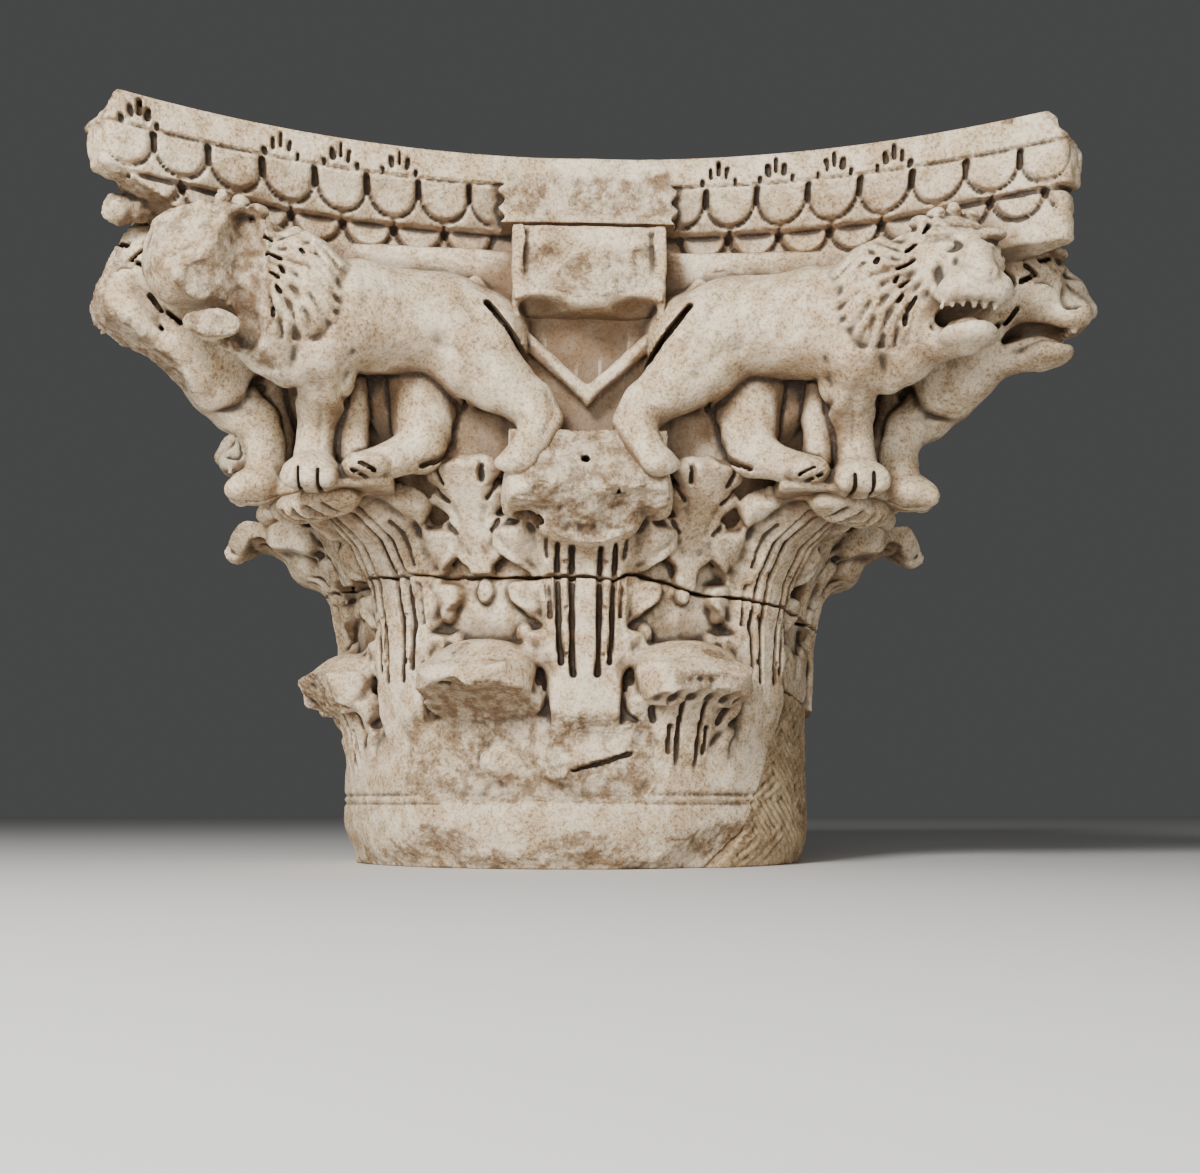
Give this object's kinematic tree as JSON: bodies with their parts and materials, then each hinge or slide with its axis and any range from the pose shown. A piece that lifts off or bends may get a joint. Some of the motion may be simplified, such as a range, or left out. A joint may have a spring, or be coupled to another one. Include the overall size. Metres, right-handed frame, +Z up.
{
  "type": "carved stone capital",
  "caption": "Round-footed stone capital with acanthus leaves, lions at the corners and a concave, scale-carved abacus; rejoined from two fragments with a fill at the foot.",
  "frame": {"origin": "middle of the flat lower bed, where the block sits on its shaft", "axes": "+Z up through the block, -Y towards the viewer of the pictured side, +X to that viewer's right"},
  "size_m": [1.1444, 1.1528, 0.8],
  "materials": {
    "marble": "weathered, hand-carved, matt",
    "fill_mortar": "claw-tooled, matt"
  },
  "bodies": {
    "root": {"upper_stone": "marble", "lower_stone": "marble", "repair_fill": "fill_mortar"}
  },
  "joints": []
}
